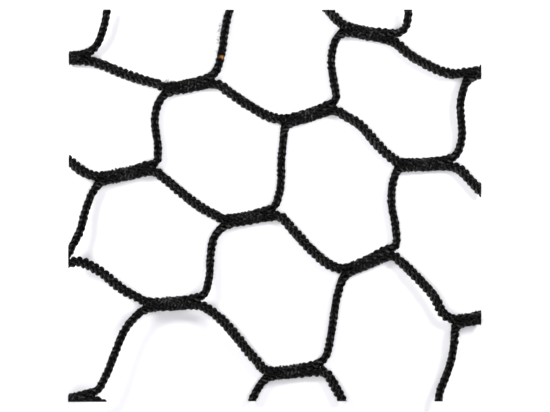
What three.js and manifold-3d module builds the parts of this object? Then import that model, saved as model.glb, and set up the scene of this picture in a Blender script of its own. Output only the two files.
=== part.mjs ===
// A cut length of knotless barrier netting, laid loose on a flat surface. Millimetres, +Z up.
// Seven knitted twines run through it. Two at a time they are knitted together in short bars,
// and between the bars they part into single legs.
// The origin is on the surface, under the middle of the cut length.

import * as THREE from 'three';
import { mergeVertices } from 'three/addons/utils/BufferGeometryUtils.js';
import Module from 'manifold-3d';

// Driving dimensions. Bar spread is from a bar's middle line to the middle of each twine in it,
// and crotch reach is how far the two twines cling together past the bar's ends.
const CUT_WIDTH = 137.4;
const CUT_LENGTH = 130.4;
const CUT_HEIGHT = 60;
const BAR_SPREAD = 1.12;
const CROTCH_REACH = 0.6;
const SECTION_SIDES = 8;
const STEP = 2.5;

// Half width and half height of a twine in each kind of stretch. The cord is deeper than it is wide,
// so it stands on edge in the bars and upright legs, and lies over on its side in the slanting legs.
const SECTIONS = {
  bar: { halfWidth: 1.27, halfHeight: 1.5 },
  crotch: { halfWidth: 1.45, halfHeight: 1.5 },
  rise: { halfWidth: 1.32, halfHeight: 1.45 },
  fall: { halfWidth: 1.58, halfHeight: 1.25 },
};

const NET_COLOUR = 0x14140f;
const NET_ROUGHNESS = 0.7;

// The bars, in rows and columns of the net. Every point is [x, y, lift], lift being height off the surface.
// left and right are the ends of a bar's middle line. Two legs leave the right end: rise, the upright leg
// of the upper twine, which climbs to the next column of the row above, and fall, the slanting leg of the
// lower twine, which goes to the next column of its own row. An entry with no ends is a bar outside the cut.
const BARS = [
  { row: 0, column: 2, fall: [[14.0, 68.8, 0.6], [17.7, 65.2, 0.4], [20.7, 61.8, 0.2]] },
  {
    row: 0, column: 3, left: [23.7, 58.6, 0.3], right: [38.3, 56.0, 0],
    rise: [[41.0, 57.5, 0.6], [43.3, 59.2, 1.2], [44.3, 62.8, 2.0], [44.3, 69.5, 2.4]],
    fall: [[41.7, 53.0, 0.2], [45.0, 50.2, 0.4], [51.7, 46.4, 0.8], [58.3, 43.9, 1.4]],
  },
  { row: 0, column: 4, left: [64.7, 43.3, 1.8], right: [74.7, 46.0, 2.2] },
  {
    row: 1, column: 0, left: [-75.0, 49.0, 0.6], right: [-62.7, 49.2, 0.5],
    rise: [[-59.7, 53.2, 1.4], [-57.4, 58.3, 2.2], [-56.0, 65.2, 2.6], [-55.7, 70.2, 2.8]],
    fall: [[-58.3, 47.2, 0.3], [-51.7, 44.4, 0], [-45.0, 42.0, 0], [-39.7, 40.7, 0]],
  },
  {
    row: 1, column: 1, left: [-36.0, 38.5, 0], right: [-21.3, 41.4, 0],
    rise: [[-19.5, 45.4, 0.2], [-17.6, 51.8, 0.4], [-16.7, 58.5, 0.5], [-15.0, 65.2, 0.7],
      [-12.3, 69.6, 0.8]],
    fall: [[-18.3, 40.0, 0], [-15.0, 37.6, 0], [-8.3, 33.1, 0], [-1.7, 29.5, 0]],
  },
  {
    row: 1, column: 2, left: [4.0, 27.8, 0], right: [19.0, 32.5, 0],
    rise: [[20.2, 35.5, 0], [19.5, 41.8, 0], [18.8, 48.5, 0], [20.2, 55.2, 0.2]],
    fall: [[22.0, 30.7, 0], [28.3, 26.8, 0], [33.3, 21.2, 0], [38.3, 16.3, 0]],
  },
  {
    row: 1, column: 3, left: [42.0, 13.3, 0], right: [58.0, 14.0, 0],
    rise: [[60.7, 17.2, 0.3], [62.5, 22.8, 0.8], [62.0, 33.5, 1.4], [63.0, 38.7, 1.7]],
    fall: [[61.7, 11.8, 0.2], [65.0, 8.5, 0.5], [68.3, 5.2, 0.8], [73.3, 0.5, 1.0]],
  },
  { row: 2, column: -1, fall: [[-72.7, 18.2, 1.2], [-68.3, 14.5, 1.0], [-63.3, 10.9, 0.9]] },
  {
    row: 2, column: 0, left: [-58.0, 8.7, 0.8], right: [-41.3, 12.3, 0.4],
    rise: [[-39.7, 14.5, 0.4], [-39.0, 19.5, 0.3], [-40.1, 27.8, 0.1], [-39.2, 33.5, 0]],
    fall: [[-38.3, 10.2, 0.4], [-31.7, 4.8, 0.3], [-25.0, -0.5, 0.2], [-20.0, -3.1, 0.1]],
  },
  {
    row: 2, column: 1, left: [-16.3, -5.5, 0], right: [-1.7, -2.8, 0],
    rise: [[-0.2, -0.2, 0], [1.7, 5.2, 0], [2.2, 15.8, 0], [2.8, 22.0, 0]],
    fall: [[1.7, -3.7, 0], [6.0, -8.2, 0], [11.7, -14.4, 0], [18.3, -19.8, 0]],
  },
  {
    row: 2, column: 2, left: [23.7, -21.9, 0], right: [38.0, -16.0, 0],
    rise: [[40.2, -13.2, 0.2], [40.2, -7.5, 0.3], [38.8, 1.2, 0.2], [39.5, 8.5, 0]],
    fall: [[41.7, -18.5, 0.5], [46.7, -23.4, 1.4], [52.5, -29.6, 2.0], [56.5, -36.4, 1.8]],
  },
  { row: 2, column: 3, left: [61.0, -38.9, 1.5], right: [74.7, -36.0, 1.2] },
  {
    row: 3, column: -1, left: [-78.0, -18.8, 5.4], right: [-69.3, -18.2, 5.0],
    rise: [[-67.7, -13.8, 4.2], [-64.9, -8.2, 3.1], [-63.1, -1.5, 2.0], [-61.0, 3.9, 1.2]],
    fall: [[-65.0, -18.7, 5.0], [-58.3, -21.8, 4.9], [-51.7, -27.2, 4.6], [-45.0, -30.9, 4.3]],
  },
  {
    row: 3, column: 0, left: [-42.3, -33.2, 4.1], right: [-26.0, -32.2, 3.0],
    rise: [[-23.5, -29.2, 2.3], [-21.9, -23.2, 1.4], [-21.5, -16.2, 0.6], [-20.3, -10.5, 0.2]],
    fall: [[-22.7, -34.3, 2.7], [-18.3, -37.6, 2.2], [-12.3, -44.5, 1.4], [-6.7, -51.2, 0.7]],
  },
  {
    row: 3, column: 1, left: [-2.0, -56.2, 0.3], right: [13.7, -54.5, 0],
    rise: [[16.8, -50.4, 0], [18.6, -43.5, 0], [19.9, -34.8, 0], [21.2, -28.2, 0]],
    fall: [[16.6, -55.6, 0.1], [19.0, -58.6, 0.3], [22.4, -64.8, 0.7], [24.7, -70.0, 1.0]],
  },
  {
    row: 3, column: 2,
    rise: [[52.5, -69.5, 2.6], [55.0, -61.5, 2.4], [58.2, -53.2, 2.0], [59.6, -46.5, 1.7]],
  },
  {
    row: 4, column: -1, left: [-75.0, -66.0, 6.4], right: [-61.3, -63.7, 6.0],
    rise: [[-59.0, -61.2, 5.8], [-56.2, -56.5, 5.5], [-52.9, -48.2, 5.0], [-50.0, -41.5, 4.6],
      [-47.0, -37.5, 4.3]],
    fall: [[-57.4, -65.8, 6.0], [-53.3, -69.5, 6.0]],
  },
  { row: 4, column: 0, rise: [[-9.7, -70.2, 0.8], [-7.5, -64.5, 0.6], [-5.3, -60.2, 0.4]] },
];

const UPPER = 1;
const LOWER = -1;

const place = (row, column) => `${row} ${column}`;
const barAt = new Map(BARS.map((bar) => [place(bar.row, bar.column), bar]));
const smooth = (share) => share * share * (3 - 2 * share);

// The points of one twine along a bar, set off to its side of the bar's middle line
function barStops(bar, side) {
  const [left, right] = [bar.left, bar.right].map((point) => new THREE.Vector3(...point));
  const across = new THREE.Vector3(left.y - right.y, right.x - left.x, 0).setLength(side * BAR_SPREAD);
  const middle = left.clone().lerp(right, 0.5);
  const reach = right.clone().sub(left).setZ(0).setLength(CROTCH_REACH);
  return [
    { at: left.sub(reach).add(across), section: SECTIONS.crotch },
    { at: middle.add(across), section: SECTIONS.bar },
    { at: right.add(reach).add(across), section: SECTIONS.crotch },
  ];
}

function legStops(points, section) {
  return points.map((point) => ({ at: new THREE.Vector3(...point), section }));
}

// Follows one twine from bar to bar, rightwards: up from a bar's upper side, slanting down from its lower
function twineStops(start) {
  const stops = [];
  let { row, column, side } = start;
  let bar = barAt.get(place(row, column));
  while (bar) {
    if (bar.left) stops.push(...barStops(bar, side));
    const kind = side === UPPER ? 'rise' : 'fall';
    if (!bar[kind]) break;
    stops.push(...legStops(bar[kind], SECTIONS[kind]));
    if (side === UPPER) row -= 1;
    column += 1;
    side = -side;
    bar = barAt.get(place(row, column));
  }
  return stops;
}

// A twine starts wherever no leg of another bar leads in
function twineStarts() {
  const starts = [];
  for (const bar of BARS) {
    const upperFeed = barAt.get(place(bar.row, bar.column - 1))?.fall;
    const lowerFeed = barAt.get(place(bar.row + 1, bar.column - 1))?.rise;
    if (!upperFeed && (bar.left || bar.rise)) starts.push({ row: bar.row, column: bar.column, side: UPPER });
    if (!lowerFeed && (bar.left || bar.fall)) starts.push({ row: bar.row, column: bar.column, side: LOWER });
  }
  return starts;
}

// The middle line of a twine, with its section and height, at even steps
function twineStations(stops) {
  const planPoints = stops.map(({ at }) => new THREE.Vector3(at.x, at.y, 0));
  const plan = new THREE.CatmullRomCurve3(planPoints, false, 'centripetal');
  const spans = stops.length - 1;
  const stations = [];
  for (let span = 0; span < spans; span += 1) {
    const [from, to] = [stops[span], stops[span + 1]];
    const steps = Math.max(1, Math.round(from.at.distanceTo(to.at) / STEP));
    const lastStep = span === spans - 1 ? steps : steps - 1;
    for (let step = 0; step <= lastStep; step += 1) {
      const share = smooth(step / steps);
      const along = (span + step / steps) / spans;
      const halfWidth = THREE.MathUtils.lerp(from.section.halfWidth, to.section.halfWidth, share);
      const halfHeight = THREE.MathUtils.lerp(from.section.halfHeight, to.section.halfHeight, share);
      const lift = THREE.MathUtils.lerp(from.at.z, to.at.z, share);
      const middle = plan.getPoint(along).setZ(halfHeight + lift);
      const heading = plan.getTangent(along);
      const side = new THREE.Vector3(-heading.y, heading.x, 0).normalize();
      stations.push({ middle, side, halfWidth, halfHeight });
    }
  }
  return stations;
}

// One twine as a closed tube. Its section is an oval of flat sides, with a flat underneath to lie on.
function twineGeometry(stations) {
  const positions = [];
  const index = [];
  const reach = 1 / Math.cos(Math.PI / SECTION_SIDES);
  for (const { middle, halfWidth, halfHeight, side } of stations) {
    for (let corner = 0; corner < SECTION_SIDES; corner += 1) {
      const angle = (2 * Math.PI * (corner + 0.5)) / SECTION_SIDES;
      const point = middle.clone().addScaledVector(side, halfWidth * reach * Math.cos(angle));
      point.z += halfHeight * reach * Math.sin(angle);
      positions.push(...point.toArray());
    }
  }
  for (let ring = 0; ring < stations.length - 1; ring += 1) {
    for (let corner = 0; corner < SECTION_SIDES; corner += 1) {
      const next = (corner + 1) % SECTION_SIDES;
      const [a, b] = [ring * SECTION_SIDES + corner, ring * SECTION_SIDES + next];
      const [c, d] = [a + SECTION_SIDES, b + SECTION_SIDES];
      index.push(a, b, c, b, d, c);
    }
  }
  const lastRing = (stations.length - 1) * SECTION_SIDES;
  for (let corner = 1; corner < SECTION_SIDES - 1; corner += 1) {
    index.push(0, corner + 1, corner);
    index.push(lastRing, lastRing + corner, lastRing + corner + 1);
  }
  const geometry = new THREE.BufferGeometry();
  geometry.setAttribute('position', new THREE.Float32BufferAttribute(positions, 3));
  geometry.setIndex(index);
  return geometry;
}

function cutGeometry() {
  const box = new THREE.BoxGeometry(CUT_WIDTH, CUT_LENGTH, CUT_HEIGHT);
  box.deleteAttribute('normal');
  box.deleteAttribute('uv');
  return mergeVertices(box);
}

const wasm = await Module();
wasm.setup();

function solidOf(geometry) {
  const vertProperties = new Float32Array(geometry.attributes.position.array);
  const triVerts = new Uint32Array(geometry.index.array);
  return new wasm.Manifold(new wasm.Mesh({ numProp: 3, vertProperties, triVerts }));
}

function geometryOf(solid) {
  const mesh = solid.getMesh();
  const geometry = new THREE.BufferGeometry();
  geometry.setAttribute('position', new THREE.Float32BufferAttribute(mesh.vertProperties, 3));
  geometry.setIndex(Array.from(mesh.triVerts));
  geometry.computeVertexNormals();
  return geometry;
}

const twines = twineStarts().map((start) => solidOf(twineGeometry(twineStations(twineStops(start)))));
const joined = twines.reduce((net, twine) => net.add(twine));
const cut = joined.intersect(solidOf(cutGeometry()));

const finish = { color: NET_COLOUR, roughness: NET_ROUGHNESS, metalness: 0 };
const net = new THREE.Mesh(geometryOf(cut), new THREE.MeshStandardMaterial(finish));
net.name = 'net';

const part = new THREE.Group();
part.add(net);
export default part;
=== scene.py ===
"""A cut length of black knotless barrier netting, knitted stitch by stitch along its twines."""
import math

import bmesh
import bpy
import numpy as np
from mathutils.kdtree import KDTree
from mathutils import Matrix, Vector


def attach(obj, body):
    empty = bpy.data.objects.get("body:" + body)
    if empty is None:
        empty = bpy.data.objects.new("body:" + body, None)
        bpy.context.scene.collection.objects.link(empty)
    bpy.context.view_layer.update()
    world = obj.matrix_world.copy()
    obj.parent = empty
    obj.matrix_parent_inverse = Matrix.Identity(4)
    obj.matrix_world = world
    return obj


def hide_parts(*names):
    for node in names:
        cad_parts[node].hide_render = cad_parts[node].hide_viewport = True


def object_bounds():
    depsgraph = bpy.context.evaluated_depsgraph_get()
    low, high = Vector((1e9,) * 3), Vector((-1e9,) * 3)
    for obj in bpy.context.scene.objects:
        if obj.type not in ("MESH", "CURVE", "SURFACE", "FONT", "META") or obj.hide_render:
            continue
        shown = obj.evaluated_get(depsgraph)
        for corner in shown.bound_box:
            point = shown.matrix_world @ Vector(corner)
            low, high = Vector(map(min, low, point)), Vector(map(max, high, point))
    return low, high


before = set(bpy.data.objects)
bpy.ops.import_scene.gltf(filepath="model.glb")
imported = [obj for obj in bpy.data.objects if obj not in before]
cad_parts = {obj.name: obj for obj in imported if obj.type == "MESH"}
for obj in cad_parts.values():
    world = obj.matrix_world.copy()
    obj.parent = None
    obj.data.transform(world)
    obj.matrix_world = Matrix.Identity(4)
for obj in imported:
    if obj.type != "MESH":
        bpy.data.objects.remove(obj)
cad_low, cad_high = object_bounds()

MM = 0.001
UP = np.array((0.0, 0.0, 1.0))
SIDEWAYS = np.array((1.0, 0.0, 0.0))
SEED = 20
rng = np.random.default_rng(SEED)

# Driving sizes, in millimetres. A loop yarn is two strands wound round each other once in PLY_TURN.
LOOP_RADIUS = 0.50
STRAND_RADIUS = 0.29
PLY_TURN = 3.5
INLAY_RADIUS = 0.46
LACE_RADIUS = 0.31
LEG_PITCH = 1.88
BAR_PITCH = 2.35

# How finely the twines' middle lines and the round of a yarn are followed.
LINE_STEP = 0.15
FEWEST_STEPS = 2
YARN_SIDES = 6

# How the chain of stitches lies in each kind of stretch: half its width across the V face, half its depth
# from the V face to the back, its roll and how far the roll wanders, how far the floats on the back swing
# round to its left side, the girth of the floats, how much painted light the floats get beside the rest
# (painted shade that darkens them), and how much painted light all of its yarn gets. Sizes are in
# millimetres and angles in degrees. At no roll the V face is up, and at 90 it faces left of the knitting.
LIE = {
    "upper bar": dict(across=1.40, depth=1.38, roll=118, wander=5,
                      swing=20, floats=1.50, float_painted_light=0.94, painted_light=1.12),
    "lower bar": dict(across=1.40, depth=1.38, roll=118, wander=5,
                      swing=20, floats=1.25, float_painted_light=0.94, painted_light=1.06),
    "rise crotch": dict(across=1.58, depth=1.68, roll=75, wander=4,
                        swing=0, floats=1.00, float_painted_light=0.92, painted_light=0.94),
    "fall crotch": dict(across=1.45, depth=1.78, roll=105, wander=4,
                        swing=15, floats=1.20, float_painted_light=0.90, painted_light=1.01),
    "rise": dict(across=1.54, depth=1.45, roll=6, wander=8,
                 swing=0, floats=1.00, float_painted_light=0.90, painted_light=0.905),
    "fall": dict(across=1.38, depth=1.75, roll=98, wander=4,
                 swing=18, floats=1.55, float_painted_light=0.76, painted_light=1.10),
}

# The stitches of a bar's lower twine lie between those of the upper one, this share of a pitch on.
LOWER_BAR_LEAD = 0.5

# The bars, in rows and columns of the net, with the legs that leave each bar's right end.
# Every point is (x, y, lift) in millimetres, as in the solid.
BARS = [
    dict(row=0, column=2, fall=[(14.0, 68.8, 0.6), (17.7, 65.2, 0.4), (20.7, 61.8, 0.2)]),
    dict(row=0, column=3, left=(23.7, 58.6, 0.3), right=(38.3, 56.0, 0),
         rise=[(41.0, 57.5, 0.6), (43.3, 59.2, 1.2), (44.3, 62.8, 2.0), (44.3, 69.5, 2.4)],
         fall=[(41.7, 53.0, 0.2), (45.0, 50.2, 0.4), (51.7, 46.4, 0.8), (58.3, 43.9, 1.4)]),
    dict(row=0, column=4, left=(64.7, 43.3, 1.8), right=(74.7, 46.0, 2.2)),
    dict(row=1, column=0, left=(-75.0, 49.0, 0.6), right=(-62.7, 49.2, 0.5),
         rise=[(-59.7, 53.2, 1.4), (-57.4, 58.3, 2.2), (-56.0, 65.2, 2.6), (-55.7, 70.2, 2.8)],
         fall=[(-58.3, 47.2, 0.3), (-51.7, 44.4, 0), (-45.0, 42.0, 0), (-39.7, 40.7, 0)]),
    dict(row=1, column=1, left=(-36.0, 38.5, 0), right=(-21.3, 41.4, 0),
         rise=[(-19.5, 45.4, 0.2), (-17.6, 51.8, 0.4), (-16.7, 58.5, 0.5), (-15.0, 65.2, 0.7),
               (-12.3, 69.6, 0.8)],
         fall=[(-18.3, 40.0, 0), (-15.0, 37.6, 0), (-8.3, 33.1, 0), (-1.7, 29.5, 0)]),
    dict(row=1, column=2, left=(4.0, 27.8, 0), right=(19.0, 32.5, 0),
         rise=[(20.2, 35.5, 0), (19.5, 41.8, 0), (18.8, 48.5, 0), (20.2, 55.2, 0.2)],
         fall=[(22.0, 30.7, 0), (28.3, 26.8, 0), (33.3, 21.2, 0), (38.3, 16.3, 0)]),
    dict(row=1, column=3, left=(42.0, 13.3, 0), right=(58.0, 14.0, 0),
         rise=[(60.5, 17.2, 0.3), (62.2, 22.8, 0.8), (61.7, 33.5, 1.4), (62.8, 38.7, 1.7)],
         fall=[(61.7, 11.8, 0.2), (65.0, 8.5, 0.5), (68.3, 5.2, 0.8), (73.3, 0.5, 1.0)]),
    dict(row=2, column=-1, fall=[(-72.7, 18.2, 1.2), (-68.3, 14.5, 1.0), (-63.3, 10.9, 0.9)]),
    dict(row=2, column=0, left=(-58.0, 8.7, 0.8), right=(-41.3, 12.3, 0.4),
         rise=[(-39.7, 14.5, 0.4), (-39.0, 19.5, 0.3), (-40.1, 27.8, 0.1), (-39.2, 33.5, 0)],
         fall=[(-38.3, 10.2, 0.4), (-31.7, 4.8, 0.3), (-25.0, -0.5, 0.2), (-20.0, -3.1, 0.1)]),
    dict(row=2, column=1, left=(-16.3, -5.5, 0), right=(-1.7, -2.8, 0),
         rise=[(-0.2, -0.2, 0), (1.7, 5.2, 0), (2.2, 15.8, 0), (2.8, 22.0, 0)],
         fall=[(1.7, -3.7, 0), (6.0, -8.2, 0), (11.7, -14.4, 0), (18.3, -19.8, 0)]),
    dict(row=2, column=2, left=(23.7, -21.9, 0), right=(38.0, -16.0, 0),
         rise=[(40.2, -13.2, 0.2), (40.2, -7.5, 0.3), (38.8, 1.2, 0.2), (39.5, 8.5, 0)],
         fall=[(41.7, -18.5, 0.5), (46.7, -23.4, 1.4), (52.5, -29.6, 2.0), (56.5, -36.4, 1.8)]),
    dict(row=2, column=3, left=(61.0, -38.9, 1.5), right=(74.7, -36.0, 1.2)),
    dict(row=3, column=-1, left=(-78.0, -18.8, 5.4), right=(-69.3, -18.2, 5.0),
         rise=[(-67.7, -13.8, 4.2), (-64.9, -8.2, 3.1), (-63.1, -1.5, 2.0), (-61.0, 3.9, 1.2)],
         fall=[(-65.0, -18.7, 5.0), (-58.3, -21.8, 4.9), (-51.7, -27.2, 4.6), (-45.0, -30.9, 4.3)]),
    dict(row=3, column=0, left=(-42.3, -33.2, 4.1), right=(-26.0, -32.2, 3.0),
         rise=[(-23.5, -29.2, 2.3), (-21.9, -23.2, 1.4), (-21.5, -16.2, 0.6), (-20.3, -10.5, 0.2)],
         fall=[(-22.7, -34.3, 2.7), (-18.3, -37.6, 2.2), (-12.3, -44.5, 1.4), (-6.7, -51.2, 0.7)]),
    dict(row=3, column=1, left=(-2.0, -56.2, 0.3), right=(13.7, -54.5, 0),
         rise=[(16.8, -50.4, 0), (18.6, -43.5, 0), (19.9, -34.8, 0), (21.2, -28.2, 0)],
         fall=[(16.6, -55.6, 0.1), (19.0, -58.6, 0.3), (22.4, -64.8, 0.7), (24.7, -70.0, 1.0)]),
    dict(row=3, column=2,
         rise=[(52.5, -69.5, 2.6), (55.0, -61.5, 2.4), (58.2, -53.2, 2.0), (59.6, -46.5, 1.7)]),
    dict(row=4, column=-1, left=(-75.0, -66.0, 6.4), right=(-61.3, -63.7, 6.0),
         rise=[(-59.0, -61.2, 5.8), (-56.2, -56.5, 5.5), (-52.9, -48.2, 5.0), (-50.0, -41.5, 4.6),
               (-47.0, -37.5, 4.3)],
         fall=[(-57.4, -65.8, 6.0), (-53.3, -69.5, 6.0)]),
    dict(row=4, column=0, rise=[(-9.7, -70.2, 0.8), (-7.5, -64.5, 0.6), (-5.3, -60.2, 0.4)]),
]
UPPER = 1
LOWER = -1

# Where each twine of a bar lies near the bar's left end, middle and right end: along the bar from there,
# and aside from its middle line, in millimetres. The upper twine turns up before the right end.
BAR_COURSES = {
    UPPER: [
        dict(kind="fall crotch", along=-0.6, aside=1.27),
        dict(kind="upper bar", along=0.0, aside=1.12),
        dict(kind="rise crotch", along=-0.30, aside=1.50),
    ],
    LOWER: [
        dict(kind="rise crotch", along=-0.9, aside=-1.12),
        dict(kind="lower bar", along=0.0, aside=-0.97),
        dict(kind="fall crotch", along=0.6, aside=-0.90),
    ],
}
bar_at = {(bar["row"], bar["column"]): bar for bar in BARS}

# One stitch of the chain as its yarn runs: up one leg, round the head, down the other leg and along the
# back. Columns: across and depth as shares of the room in the twine, depth being towards the V face,
# along in pitches, girth as a share of the radius, its painted light (a painted highlight on the crowns of
# the legs, painted shade towards their ends and the head), and the rings up to the next point.
STITCH = [
    dict(across=-0.12, along=0.00, depth=-0.60, girth=0.85, painted_light=0.85, rings=2),
    dict(across=-0.18, along=0.22, depth=0.45, girth=0.95, painted_light=0.78, rings=2),
    dict(across=-0.38, along=0.50, depth=0.97, girth=1.02, painted_light=0.91, rings=2),
    dict(across=-0.70, along=0.88, depth=0.92, girth=1.07, painted_light=1.15, rings=2),
    dict(across=-0.95, along=1.22, depth=0.45, girth=1.03, painted_light=0.98, rings=2),
    dict(across=-0.87, along=1.50, depth=-0.15, girth=0.93, painted_light=0.92, rings=1),
    dict(across=0.00, along=1.63, depth=-0.50, girth=0.88, painted_light=0.85, rings=1),
    dict(across=0.87, along=1.50, depth=-0.15, girth=0.93, painted_light=0.92, rings=2),
    dict(across=0.95, along=1.22, depth=0.45, girth=1.03, painted_light=0.98, rings=2),
    dict(across=0.70, along=0.88, depth=0.92, girth=1.07, painted_light=1.15, rings=2),
    dict(across=0.38, along=0.50, depth=0.97, girth=1.02, painted_light=0.91, rings=2),
    dict(across=0.18, along=0.22, depth=0.45, girth=0.95, painted_light=0.78, rings=2),
    dict(across=0.12, along=0.00, depth=-0.60, girth=0.85, painted_light=0.85, rings=2),
    dict(across=0.05, along=0.39, depth=-0.96, girth=1.00, painted_light=1.00, rings=3),
    dict(across=-0.05, along=0.61, depth=-0.98, girth=1.00, painted_light=1.00, rings=2),
]

# What lies deeper than this is a float on the back.
FLOAT_DEPTH = -0.9

# Yarns laid in along the chain: two sway behind the gaps at its sides, one lies behind the V face, and one
# before the back comes up between the floats. Columns as above. Lying deep in the twine, they are painted
# darker, as shade between the loops.
SWINGING_INLAY = [
    dict(across=0.88, along=0.62, depth=-0.06, girth=1.0, painted_light=1.00, rings=2),
    dict(across=0.55, along=1.12, depth=-0.15, girth=1.0, painted_light=1.00, rings=2),
]
FRONT_INLAY = [
    dict(across=0.10, along=0.30, depth=0.52, girth=1.0, painted_light=0.85, rings=2),
    dict(across=-0.10, along=0.80, depth=0.48, girth=1.0, painted_light=0.85, rings=2),
]
BACK_INLAY = [
    dict(across=-0.66, along=0.00, depth=-0.58, girth=0.9, painted_light=1.08, rings=2),
    dict(across=-0.25, along=0.50, depth=-0.40, girth=1.0, painted_light=0.93, rings=2),
]

# One turn of the laces of a bar, two round its upper chain and two round the lower. Columns: across the
# bar and up from its middle, in millimetres, and along in turns. Its leads say where each lace starts.
LACES = [
    dict(leads=(0.05, 0.55), turn=np.array([
        (0.10, 0.10, 0.00), (0.30, 0.80, 0.08), (0.80, 1.10, 0.18),
        (1.45, 1.02, 0.30), (2.00, 0.55, 0.40), (2.12, 0.00, 0.48),
        (1.80, -0.75, 0.60), (1.00, -1.00, 0.73), (0.35, -0.70, 0.87),
    ])),
    dict(leads=(0.30, 0.80), turn=np.array([
        (-1.95, 0.00, 0.00), (-1.75, 0.60, 0.08), (-1.25, 1.02, 0.18),
        (-0.60, 1.10, 0.30), (-0.12, 0.80, 0.40), (0.00, 0.10, 0.48),
        (-0.25, -0.70, 0.60), (-0.95, -1.00, 0.73), (-1.70, -0.75, 0.87),
    ])),
]
LACE_RINGS = 2
# Painted light on the laces, which lie mostly deep in the bar and so are painted darker, as shade.
LACE_PAINTED_LIGHT = 0.90

# How much stitches and turns of lace differ from one another: the spread of each measure as a share of it,
# and that of along in pitches or turns.
STITCH_SPREAD = dict(along=0.03, across=0.06, depth=0.06, girth=0.05, painted_light=0.06)
LACE_SPREAD = dict(along=0.06, across=0.07, up=0.08, girth=0.06, painted_light=0.12)

# An orange fleck on the upper side of one rise: the corners of its outline in plan, clockwise, how high it
# starts, and how wide its soft edge is, in millimetres.
FLECK_CORNERS = np.array([(-18.95, 49.95), (-17.05, 50.10), (-17.25, 48.35)])
FLECK_LOWEST = 1.2
FLECK_EDGE = 0.15

# Stray fibres that stand out from the edge of a twine: where they start, from one point to another in
# plan, which way they stand out and how far, in millimetres, and their number.
FIBRE_RADIUS = 0.03
FIBRE_HEIGHT = 1.6
FIBRES = [
    dict(start=(-36.7, 41.0), end=(-34.3, 40.6), out=(0.1, 1.0), reach=1.4, number=26),
    dict(start=(-17.8, 60.5), end=(-19.2, 51.0), out=(-1.0, 0.1), reach=1.1, number=24),
]

# How much the fibres' heights and ways out differ, and the shares of their reach to the bend and past it.
FIBRE_HEIGHT_SPREAD = 0.2
FIBRE_WAY_SPREAD = 0.4
REACH_TO_BEND = (0.4, 1.0)
REACH_TO_TIP = (0.3, 0.8)
FIBRE_RINGS = 4
# Painted light on the stray fibres.
FIBRE_PAINTED_LIGHT = 1.0


def smooth(share):
    return share * share * (3 - 2 * share)


def unit(vectors):
    return vectors / np.linalg.norm(vectors, axis=-1, keepdims=True)


def run_of(points):
    """The distance run at each point of a line."""
    return np.append(0, np.cumsum(np.linalg.norm(np.diff(points, axis=0), axis=1)))


def columns(rows, *names):
    """Columns of a table, as arrays."""
    return [np.array([row[name] for row in rows]) for name in names]


def vary(values, spread, shape=None):
    """Values made uneven, each by a random share of itself."""
    return values * (1 + rng.normal(0, spread, shape))


def with_ends(points):
    """Points with one more at each end, as far on as the last two lie apart."""
    return np.vstack([2 * points[0] - points[1], points, 2 * points[-1] - points[-2]])


def cubic(share, start, leave, end, arrive):
    """Points of a curve from start to end, given the speeds at which it leaves and arrives."""
    return ((2 * share**3 - 3 * share**2 + 1) * start + (share**3 - 2 * share**2 + share) * leave
            + (3 * share**2 - 2 * share**3) * end + (share**3 - share**2) * arrive)


# Routes of the twines

def bar_ends(bar):
    return np.array(bar["left"], float), np.array(bar["right"], float)


def bar_stops(bar, side):
    """The points of one twine along a bar, set off to its side of the bar's middle line."""
    left, right = bar_ends(bar)
    heading = unit((right - left) * (1, 1, 0))
    upwards = np.cross(UP, heading)
    return [
        (course["kind"], start + heading * course["along"] + upwards * course["aside"])
        for start, course in zip((left, (left + right) / 2, right), BAR_COURSES[side])
    ]


def twine_stops(row, column, side):
    """Follows one twine rightwards from bar to bar: up from a bar's upper side, down from its lower."""
    stops = []
    while (row, column) in bar_at:
        bar = bar_at[row, column]
        if "left" in bar:
            stops += bar_stops(bar, side)
        kind = "rise" if side == UPPER else "fall"
        if kind not in bar:
            break
        stops += [(kind, np.array(point, float)) for point in bar[kind]]
        row -= 1 if side == UPPER else 0
        column += 1
        side = -side
    return stops


def twine_starts():
    """A twine starts wherever no leg of another bar leads in."""
    for bar in BARS:
        row, column = bar["row"], bar["column"]
        fed_above = "fall" in bar_at.get((row, column - 1), {})
        fed_below = "rise" in bar_at.get((row + 1, column - 1), {})
        if not fed_above and ("left" in bar or "rise" in bar):
            yield row, column, UPPER
        if not fed_below and ("left" in bar or "fall" in bar):
            yield row, column, LOWER


def plan_curve(points):
    """A centripetal Catmull-Rom curve through points, as a function of span and share of the span."""
    points = with_ends(points)
    knots = np.sqrt(np.linalg.norm(np.diff(points, axis=0), axis=1))

    def at(span, share):
        before, start, end, after = points[span:span + 4]
        k0, k1, k2 = knots[span:span + 3]
        leave = ((start - before) / k0 - (end - before) / (k0 + k1) + (end - start) / k1) * k1
        arrive = ((end - start) / k1 - (after - start) / (k1 + k2) + (after - end) / k2) * k1
        return cubic(share[:, None], start, leave, end, arrive)

    return at


def lie_states(kinds, lifts):
    """A row for each stop: its lift and half sizes, its roll, and the ways of its floats and yarn."""
    lie = [LIE[kind] for kind in kinds]
    half_across, half_depth = columns(lie, "across", "depth")
    roll, wander, swing = columns(lie, "roll", "wander", "swing")
    floats, float_painted_light, painted_light = columns(lie, "floats", "float_painted_light", "painted_light")
    roll = np.radians(roll + wander * rng.normal(0, 1, len(kinds)))
    swing = np.radians(swing)
    return np.column_stack([lifts, half_across, half_depth, roll, swing, floats, float_painted_light, painted_light])


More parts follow.
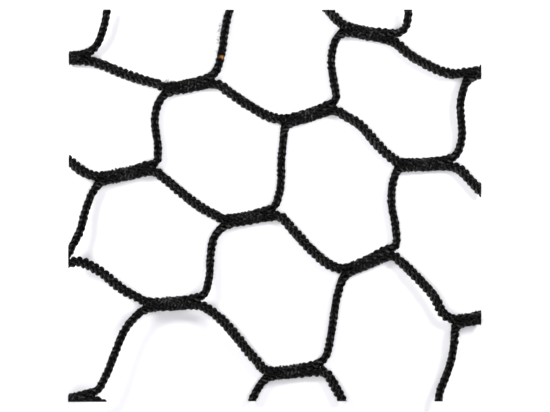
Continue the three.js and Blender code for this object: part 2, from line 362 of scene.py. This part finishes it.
class Line:
    """The middle line of a twine, run in the direction of knitting, which is leftwards."""

    def __init__(self, stops):
        """Draws the line through the twine's stops, which are given from left to right."""
        kinds, points = zip(*stops[::-1])
        points = np.array(points)
        state = lie_states(kinds, points[:, 2])
        curve = plan_curve(points[:, :2])
        plan, states, marks = [], [], [0]
        for span in range(len(stops) - 1):
            length = np.linalg.norm(points[span + 1] - points[span])
            steps = max(FEWEST_STEPS, round(length / LINE_STEP))
            share = np.arange(steps) / steps
            plan.append(curve(span, share))
            states.append(state[span] + smooth(share)[:, None] * (state[span + 1] - state[span]))
            marks.append(marks[-1] + steps)
        marks[-1] -= 1
        lift, half_across, half_depth, roll, *self.ways = np.vstack(states).T
        half_height = np.hypot(half_depth * np.cos(roll), half_across * np.sin(roll))
        middle = np.column_stack([np.vstack(plan), lift + half_height])
        heading = unit(np.gradient(middle, axis=0))
        left = unit(np.cross(UP, heading))
        top = np.cross(heading, left)
        turn = roll[:, None]
        aside = np.cos(turn) * left - np.sin(turn) * top
        face = np.cos(turn) * top + np.sin(turn) * left
        room = np.column_stack([half_across, half_depth]) - LOOP_RADIUS
        self.frames = np.hstack([middle, aside * room[:, :1], face * room[:, 1:]])
        self.shell = np.hstack([middle, aside / half_across[:, None], face / half_depth[:, None]])
        self.along = run_of(middle)
        self.stretches = self.find_stretches(kinds, marks)

    def find_stretches(self, kinds, marks):
        """The bars and legs in turn, as (pitch, start, end)."""
        found = []
        start, pitch = 0, LEG_PITCH
        for k, kind in enumerate(kinds):
            if "crotch" in kind:
                lead = LOWER_BAR_LEAD if "lower bar" in kinds[max(k - 1, 0):k + 2] else 0
                end = self.along[marks[k]] + lead * BAR_PITCH
                if end > start:
                    found.append((pitch, start, end))
                start = end
            else:
                pitch = BAR_PITCH if "bar" in kind else LEG_PITCH
        if self.along[-1] > start:
            found.append((pitch, start, self.along[-1]))
        return found

    def courses(self):
        """Where each stitch starts, and its pitch. Bars and legs hold whole numbers of stitches."""
        found = []
        for pitch, start, end in self.stretches:
            count = max(1, round((end - start) / pitch))
            found += [(start + (end - start) * k / count, (end - start) / count) for k in range(count)]
        return np.array(found)

    def way(self, along):
        """How far the floats swing round, their girth and painted light, and the painted light of all the
        yarn.
        """
        return [np.interp(along, self.along, value) for value in self.ways]

    def place(self, along, across, depth):
        """Points along the line, set off across the V face and towards it by shares of a yarn's room."""
        read = np.column_stack([np.interp(along, self.along, column) for column in self.frames.T])
        middle, aside, face = np.split(read, 3, axis=1)
        return middle + aside * across[:, None] + face * depth[:, None]


class Shell:
    """The surface of all twines together."""

    def __init__(self, lines):
        self.frames = np.vstack([line.shell for line in lines])
        self.tree = KDTree(len(self.frames))
        for index, middle in enumerate(self.frames[:, :3]):
            self.tree.insert(middle, index)
        self.tree.balance()

    def share_out(self, points):
        """How far out points lie from the nearest twine's middle, as shares of the way to its surface."""
        nearest = [self.tree.find(point)[1] for point in points]
        middle, aside, face = np.split(self.frames[nearest], 3, axis=1)
        offset = points - middle
        return np.hypot((offset * aside).sum(axis=1), (offset * face).sum(axis=1))


# Yarn as tubes

# A yarn's first side is square to the upward direction, or to a sideways one where it is steeper than this.
STEEP = 0.9

# Rows of unrolled yarn: the free edge of a row as a share of it, and the room past its end in yarn radii.
ROW_GUTTER = 0.06
ROW_OVERRUN = 4

# How close to a cut a point counts as lying on it, in metres.
CUT_TOLERANCE = 1e-7


def yarn_curve(points, traits, rings_per_span):
    """A smooth yarn through its points, ring by ring: centres, and traits eased from point to point."""
    padded = with_ends(points)
    span = np.repeat(np.arange(len(points) - 1), rings_per_span)
    share = np.concatenate([np.arange(count) / count for count in rings_per_span])[:, None]
    before, start, end, after = (padded[span + k] for k in range(4))
    leave, arrive = (end - before) / 2, (after - start) / 2
    centres = cubic(share, start, leave, end, arrive)
    eased = traits[span] + smooth(share) * (traits[span + 1] - traits[span])
    return np.vstack([centres, points[-1]]), np.vstack([eased, traits[-1]])


def ring_sides(centres):
    """Two directions across the yarn at each ring, carried along it without twist."""
    headings = unit(np.gradient(centres, axis=0))
    side = np.empty_like(centres)
    start = np.cross(headings[0], UP if abs(headings[0, 2]) < STEEP else SIDEWAYS)
    side[0] = start / np.linalg.norm(start)
    for ring in range(1, len(centres)):
        moved = side[ring - 1] - headings[ring] * (side[ring - 1] @ headings[ring])
        side[ring] = moved / math.sqrt(moved @ moved)
    return side, np.cross(headings, side)


def fleck_share(points):
    """How much each point is in the fleck, from 0 to 1."""
    share = points[:, 2] > FLECK_LOWEST
    for start, end in zip(FLECK_CORNERS, np.roll(FLECK_CORNERS, -1, axis=0)):
        inwards = unit((end - start)[::-1] * (1, -1))
        share = share * np.clip((points[:, :2] - start) @ inwards / FLECK_EDGE, 0, 1)
    return share


class YarnMesh:
    """Collects yarns as closed tubes, to be joined in one mesh."""

    def __init__(self, radius):
        self.radius = radius
        self.points, self.quads, self.ends = [], [], []
        self.strand, self.unrolled, self.painted_light = [], [], []
        self.count = 0
        self.length = 0.0

    def add(self, centres, traits):
        """Adds one closed yarn. Its traits are its radius and its painted light, ring by ring."""
        sides, rings = YARN_SIDES, len(centres)
        radii, painted_light = traits.T
        self.painted_light.append(np.repeat(painted_light, sides))
        first, second = ring_sides(centres)
        angle = 2 * math.pi * np.arange(sides) / sides
        out = first[:, None] * np.cos(angle)[:, None] + second[:, None] * np.sin(angle)[:, None]
        self.points.append((centres[:, None] + out * radii[:, None, None]).reshape(-1, 3))
        run = self.length + run_of(centres)
        strand = np.empty((rings, sides, 3))
        strand[..., 0] = np.cos(angle) * self.radius
        strand[..., 1] = np.sin(angle) * self.radius
        strand[..., 2] = run[:, None]
        self.strand.append(strand.reshape(-1, 3))
        ring, corner = np.meshgrid(np.arange(rings - 1), np.arange(sides), indexing="ij")
        near, far = self.count + ring * sides, self.count + (ring + 1) * sides
        after = (corner + 1) % sides
        quads = np.stack([near + corner, near + after, far + after, far + corner], -1)
        self.quads.append(quads.reshape(-1, 4))
        around = np.stack([corner, corner + 1, corner + 1, corner], -1) / sides
        along = np.stack([run[ring], run[ring], run[ring + 1], run[ring + 1]], -1)
        self.unrolled.append(np.stack([along, around], -1).reshape(-1, 4, 2))
        last = self.count + (rings - 1) * sides
        self.ends.append(list(range(self.count, self.count + sides))[::-1])
        self.ends.append(list(range(last, last + sides)))
        self.count += rings * sides
        self.length = run[-1]

    def unwrap(self, unrolled):
        """The yarn unrolled on a square, in rows like lines of writing."""
        width = math.sqrt(self.length * 2 * math.pi * self.radius)
        row = np.floor(unrolled[:, :1, 0] / width)
        rows = row.max() + 1
        u = (unrolled[..., 0] - row * width) / (width + ROW_OVERRUN * self.radius)
        v = (row + ROW_GUTTER + (1 - 2 * ROW_GUTTER) * unrolled[..., 1]) / rows
        return np.stack([u, v], -1)

    def build(self, name, shell):
        """Makes the mesh. Each point keeps how far out in its twine it lies, times its painted light, as
        painted shading.
        """
        mesh = bpy.data.meshes.new(name)
        points = np.vstack(self.points)
        # Nothing goes below the surface that the net lies on.
        points[:, 2] = np.maximum(points[:, 2], 0)
        quads = np.vstack(self.quads)
        mesh.from_pydata((points * MM).tolist(), [], quads.tolist() + self.ends)
        # Painted shading: the yarn is painted darker deep in the twine, as shade between the yarns, and
        # lighter at its surface.
        painted_shading = mesh.attributes.new("painted_shading", "FLOAT", "POINT")
        painted_shading.data.foreach_set("value", np.concatenate(self.painted_light) * shell.share_out(points))
        fleck = mesh.attributes.new("fleck", "FLOAT", "POINT")
        fleck.data.foreach_set("value", fleck_share(points))
        strand = mesh.attributes.new("strand", "FLOAT_VECTOR", "POINT")
        strand.data.foreach_set("vector", np.vstack(self.strand).astype(np.float32).ravel())
        flat = np.zeros((len(mesh.loops), 2), np.float32)
        flat[:quads.size] = self.unwrap(np.vstack(self.unrolled)).reshape(-1, 2)
        mesh.uv_layers.new(name="OFBake").uv.foreach_set("vector", flat.ravel())
        mesh.shade_smooth()
        piece = bpy.data.objects.new(name, mesh)
        bpy.context.collection.objects.link(piece)
        return piece


def trim(piece):
    """Cuts a piece off square at the four edges of the cut length, and closes the cut ends."""
    mesh = bmesh.new()
    mesh.from_mesh(piece.data)
    for corner, sign in ((cad_low, -1), (cad_high, 1)):
        for axis in range(2):
            normal = [0, 0, 0]
            normal[axis] = sign
            cut = bmesh.ops.bisect_plane(
                mesh, geom=mesh.verts[:] + mesh.edges[:] + mesh.faces[:], dist=CUT_TOLERANCE,
                plane_co=corner, plane_no=normal, clear_outer=True)
            edges = [part for part in cut["geom_cut"] if isinstance(part, bmesh.types.BMEdge)]
            rims = [edge for edge in edges if edge.is_boundary]
            for face in bmesh.ops.holes_fill(mesh, edges=rims, sides=0)["faces"]:
                face.smooth = False
    mesh.to_mesh(piece.data)
    mesh.free()


# The knitted twines

def follow(line, pattern, radius, mirror=1):
    """A yarn that repeats a pattern of points in every stitch of a twine, none quite like the next."""
    across, along, depth, girth, painted_light, rings = columns(
        pattern, "across", "along", "depth", "girth", "painted_light", "rings")
    stitches = line.courses()
    shape = (len(stitches), len(pattern))
    start, pitch = stitches[:, :1], stitches[:, 1:]
    where = start + pitch * (along + rng.normal(0, STITCH_SPREAD["along"], shape))
    aside = vary(mirror * across, STITCH_SPREAD["across"], shape)
    deep = vary(depth, STITCH_SPREAD["depth"], shape)
    girth = vary(girth, STITCH_SPREAD["girth"], (len(stitches), 1))
    # Painted light: a painted highlight on the crowns of the legs, painted shade towards their ends, and
    # each kind of stretch and its floats painted lighter or darker.
    painted_light = vary(painted_light, STITCH_SPREAD["painted_light"], shape)
    swing, floats, float_painted_light, painted_light_level = line.way(where)
    floating = depth < FLOAT_DEPTH
    swing = np.where(floating, swing, 0)
    girth = girth * np.where(floating, floats, 1)
    painted_light = painted_light * painted_light_level * np.where(floating, float_painted_light, 1)
    swung_aside = aside * np.cos(swing) + deep * np.sin(swing)
    swung_deep = deep * np.cos(swing) - aside * np.sin(swing)
    points = line.place(where.ravel(), swung_aside.ravel(), swung_deep.ravel())
    traits = np.column_stack([radius * girth.ravel(), painted_light.ravel()])
    return yarn_curve(points, traits, np.tile(rings, len(stitches))[:-1])


def ply(centres, traits):
    """The two strands of a yarn, which wind round each other along it, as ring centres and traits."""
    first, second = ring_sides(centres)
    turn = (2 * math.pi * run_of(centres) / PLY_TURN)[:, None]
    share = STRAND_RADIUS / LOOP_RADIUS
    out = (np.cos(turn) * first + np.sin(turn) * second) * traits[:, :1] * (1 - share)
    thin = traits * (share, 1)
    return [(centres + out, thin), (centres - out, thin)]


def lace(bar, turn, lead):
    """A yarn wound round the twines of a bar. Its ends are tucked in between them."""
    left, right = bar_ends(bar)
    heading = unit(right - left)
    aside = unit(np.cross(UP, heading))
    top = np.cross(heading, aside)
    length = np.linalg.norm(right - left)
    stitches = round(length / BAR_PITCH)
    out, up, along = np.tile(turn, (stitches + 1, 1)).T
    count = len(along)
    turns_before = np.repeat(np.arange(stitches + 1), len(turn))
    along = along + lead - 1 + turns_before + rng.normal(0, LACE_SPREAD["along"], count)
    out = vary(out, LACE_SPREAD["across"], count)
    up = vary(up, LACE_SPREAD["up"], count)
    girth = vary(LACE_RADIUS, LACE_SPREAD["girth"], count)
    painted_light = vary(LACE_PAINTED_LIGHT, LACE_SPREAD["painted_light"], count)
    kept = (along > 0) & (along < stitches)
    first_stitch = BAR_COURSES[UPPER][0]["along"]
    shift = np.column_stack([along / stitches * length + first_stitch, out, up])[kept]
    shift[[0, -1], 1:] = 0
    middle = left + UP * LIE["upper bar"]["across"]
    points = middle + shift @ np.array([heading, aside, top])
    traits = np.column_stack([girth, painted_light])[kept]
    return yarn_curve(points, traits, np.full(len(points) - 1, LACE_RINGS))


def fibre(start, end, out, reach):
    """One stray fibre, which stands out from somewhere between start and end and bends over."""
    start, end, out = (np.array(point + (0,)) for point in (start, end, out))
    root = start + (end - start) * rng.random() + UP * vary(FIBRE_HEIGHT, FIBRE_HEIGHT_SPREAD)
    way = unit(out + rng.normal(0, FIBRE_WAY_SPREAD, 3))
    bend = root + way * reach * rng.uniform(*REACH_TO_BEND)
    tip = bend + unit(rng.normal(0, 1, 3)) * reach * rng.uniform(*REACH_TO_TIP)
    points = np.array([root - out * reach, root, bend, tip])
    traits = np.tile((FIBRE_RADIUS, FIBRE_PAINTED_LIGHT), (len(points), 1))
    return yarn_curve(points, traits, np.full(len(points) - 1, FIBRE_RINGS))


lines = [Line(twine_stops(*start)) for start in twine_starts()]
strands = YarnMesh(STRAND_RADIUS), YarnMesh(STRAND_RADIUS)
inlays = YarnMesh(INLAY_RADIUS)
laces = YarnMesh(LACE_RADIUS)
for line in lines:
    for strand, rings in zip(strands, ply(*follow(line, STITCH, LOOP_RADIUS))):
        strand.add(*rings)
    for mirror in (1, -1):
        inlays.add(*follow(line, SWINGING_INLAY, INLAY_RADIUS, mirror))
    for inlay in (FRONT_INLAY, BACK_INLAY):
        inlays.add(*follow(line, inlay, INLAY_RADIUS))
for bar in BARS:
    if "left" in bar:
        for kind in LACES:
            for lead in kind["leads"]:
                laces.add(*lace(bar, kind["turn"], lead))
fibres = YarnMesh(FIBRE_RADIUS)
for tuft in FIBRES:
    for _ in range(tuft["number"]):
        fibres.add(*fibre(tuft["start"], tuft["end"], tuft["out"], tuft["reach"]))


# Finish of the yarn

# Filaments are noise in the yarn, drawn out along it. The scale is in features a millimetre.
FILAMENT_STRETCH = (1.0, 1.0, 0.3)
FILAMENT_SCALE = 4.0
FILAMENT_DETAIL = 3.0

# The yarn's painted shading, between these limits: painted shade deep in its twine, painted light out at
# its surface, with a share of the filaments' grain added.
FILAMENT_GRAIN_SHARE = 0.45
MOST_SHADED = 0.85
MOST_LIT = 1.31
MOST_SHADED_TONE = (0.0004, 0.0004, 0.0004, 1)
HALF_LIT_TONE = (0.0040, 0.0040, 0.0039, 1)
MOST_LIT_TONE = (0.038, 0.0375, 0.0360, 1)
HALF_LIT = 0.55

# The fleck's colour, and the yarn's sheen. Its roughness and bump go with the filaments.
FLECK_COLOUR = (0.36, 0.15, 0.04, 1)
YARN_SPECULAR = 0.06
SMOOTHEST = 0.20
ROUGHEST = 0.34
BUMP_STRENGTH = 0.25
BUMP_HEIGHT = 0.10 * MM


def attribute(nodes, name):
    node = nodes.new("ShaderNodeAttribute")
    node.attribute_name = name
    return node


def filament_noise(nodes, links):
    """Noise along the yarn, for its tone, roughness and bump."""
    stretch = nodes.new("ShaderNodeMapping")
    stretch.inputs["Scale"].default_value = FILAMENT_STRETCH
    links.new(attribute(nodes, "strand").outputs["Vector"], stretch.inputs["Vector"])
    noise = nodes.new("ShaderNodeTexNoise")
    noise.inputs["Scale"].default_value = FILAMENT_SCALE
    noise.inputs["Detail"].default_value = FILAMENT_DETAIL
    links.new(stretch.outputs["Vector"], noise.inputs["Vector"])
    return noise.outputs["Fac"]


def painted_shading_colour(nodes, links, filaments):
    """The yarn's colour: painted shade and light from how far out in its twine it lies, and the filaments'
    grain.
    """
    painted_light_level = nodes.new("ShaderNodeMath")
    painted_light_level.operation = "MULTIPLY_ADD"
    painted_light_level.inputs[1].default_value = FILAMENT_GRAIN_SHARE
    links.new(filaments, painted_light_level.inputs[0])
    links.new(attribute(nodes, "painted_shading").outputs["Fac"], painted_light_level.inputs[2])
    share = nodes.new("ShaderNodeMapRange")
    share.inputs["From Min"].default_value = MOST_SHADED
    share.inputs["From Max"].default_value = MOST_LIT
    links.new(painted_light_level.outputs["Value"], share.inputs["Value"])
    tones = nodes.new("ShaderNodeValToRGB")
    least, most = tones.color_ramp.elements
    least.color = MOST_SHADED_TONE
    most.color = MOST_LIT_TONE
    tones.color_ramp.elements.new(HALF_LIT).color = HALF_LIT_TONE
    links.new(share.outputs["Result"], tones.inputs["Fac"])
    return tones.outputs["Color"]


def yarn_material():
    """Matt black yarn with filaments, painted deep black as shade inside the twine and painted lighter grey
    as light on its outside.
    """
    material = bpy.data.materials.new("net_twine")
    material.use_nodes = True
    nodes, links = material.node_tree.nodes, material.node_tree.links
    shader = nodes["Principled BSDF"]
    shader.inputs["Specular IOR Level"].default_value = YARN_SPECULAR
    filaments = filament_noise(nodes, links)
    stained = nodes.new("ShaderNodeMix")
    stained.data_type = "RGBA"
    stained.inputs["B"].default_value = FLECK_COLOUR
    links.new(attribute(nodes, "fleck").outputs["Fac"], stained.inputs["Factor"])
    links.new(painted_shading_colour(nodes, links, filaments), stained.inputs["A"])
    links.new(stained.outputs["Result"], shader.inputs["Base Color"])
    gloss = nodes.new("ShaderNodeMapRange")
    gloss.inputs["To Min"].default_value = SMOOTHEST
    gloss.inputs["To Max"].default_value = ROUGHEST
    links.new(filaments, gloss.inputs["Value"])
    links.new(gloss.outputs["Result"], shader.inputs["Roughness"])
    bump = nodes.new("ShaderNodeBump")
    bump.inputs["Strength"].default_value = BUMP_STRENGTH
    bump.inputs["Distance"].default_value = BUMP_HEIGHT
    links.new(filaments, bump.inputs["Height"])
    links.new(bump.outputs["Normal"], shader.inputs["Normal"])
    return material


# Pieces

shell = Shell(lines)
twine_finish = yarn_material()


def piece_of(yarn, name):
    piece = yarn.build(name, shell)
    trim(piece)
    piece.data.materials.append(twine_finish)
    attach(piece, "root")
    return piece


net = piece_of(strands[0], "net_loops_first_strand")
others = [
    piece_of(strands[1], "net_loops_second_strand"),
    piece_of(inlays, "net_inlay"),
    piece_of(laces, "net_bar_lacing"),
    piece_of(fibres, "net_stray_fibres"),
]
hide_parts("net")


# Floor, light and camera

# Sizes here are in metres, but for the sensor's, and powers in watts.
FLOOR_HALF = 4.0
FLOOR_LEVEL = -0.02 * MM
FLOOR_COLOUR = (0.86, 0.86, 0.88, 1)
FLOOR_ROUGHNESS = 0.9
FLOOR_SPECULAR = 0.1
LIGHTS = [
    dict(name="light_left", at=(-0.24, 0.13, 0.20), size=0.12, power=0.87),
    dict(name="light_right", at=(0.24, 0.13, 0.20), size=0.12, power=0.87),
    dict(name="light_over", at=(0.0, -0.07, 0.45), size=0.40, power=1.65),
]
WORLD_COLOUR = (0.84, 0.84, 1, 1)
WORLD_STRENGTH = 0.1

# The camera looks straight down. The picture's scale holds at the level of the twines' middle lines.
PIXELS_WIDE = 550
PIXELS_PER_MM = 3.0
NET_MIDDLE = 2 * MM
CAMERA_DISTANCE = 1.5
CAMERA_SHIFT_DOWN = 0.167 * MM
SENSOR_WIDTH = 36
VIEW_DEPTH = 20


def floor():
    mesh = bpy.data.meshes.new("floor")
    signs = ((-1, -1), (1, -1), (1, 1), (-1, 1))
    corners = [(x * FLOOR_HALF, y * FLOOR_HALF, FLOOR_LEVEL) for x, y in signs]
    mesh.from_pydata(corners, [], [(0, 1, 2, 3)])
    piece = bpy.data.objects.new("floor", mesh)
    bpy.context.collection.objects.link(piece)
    material = bpy.data.materials.new("pale_floor")
    material.use_nodes = True
    shader = material.node_tree.nodes["Principled BSDF"]
    shader.inputs["Base Color"].default_value = FLOOR_COLOUR
    shader.inputs["Roughness"].default_value = FLOOR_ROUGHNESS
    shader.inputs["Specular IOR Level"].default_value = FLOOR_SPECULAR
    mesh.materials.append(material)


def soft_light(name, at, size, power):
    """A round area light that faces the middle of the net."""
    data = bpy.data.lights.new(name, "AREA")
    data.shape = "DISK"
    data.size = size
    data.energy = power
    light = bpy.data.objects.new(name, data)
    light.location = at
    light.rotation_mode = "QUATERNION"
    light.rotation_quaternion = (-light.location).to_track_quat("-Z", "Y")
    bpy.context.collection.objects.link(light)


def camera():
    data = bpy.data.cameras.new("camera")
    seen = PIXELS_WIDE / PIXELS_PER_MM * MM
    data.sensor_width = SENSOR_WIDTH
    data.lens = SENSOR_WIDTH * CAMERA_DISTANCE / seen
    data.clip_end = VIEW_DEPTH
    view = bpy.data.objects.new("camera", data)
    view.location = (0, -CAMERA_SHIFT_DOWN, NET_MIDDLE + CAMERA_DISTANCE)
    bpy.context.collection.objects.link(view)
    bpy.context.scene.camera = view


def studio():
    world = bpy.data.worlds.new("studio")
    world.use_nodes = True
    background = world.node_tree.nodes["Background"]
    background.inputs["Color"].default_value = WORLD_COLOUR
    background.inputs["Strength"].default_value = WORLD_STRENGTH
    bpy.context.scene.world = world
    bpy.context.scene.view_settings.view_transform = "Standard"


floor()
for light in LIGHTS:
    soft_light(**light)
camera()
studio()
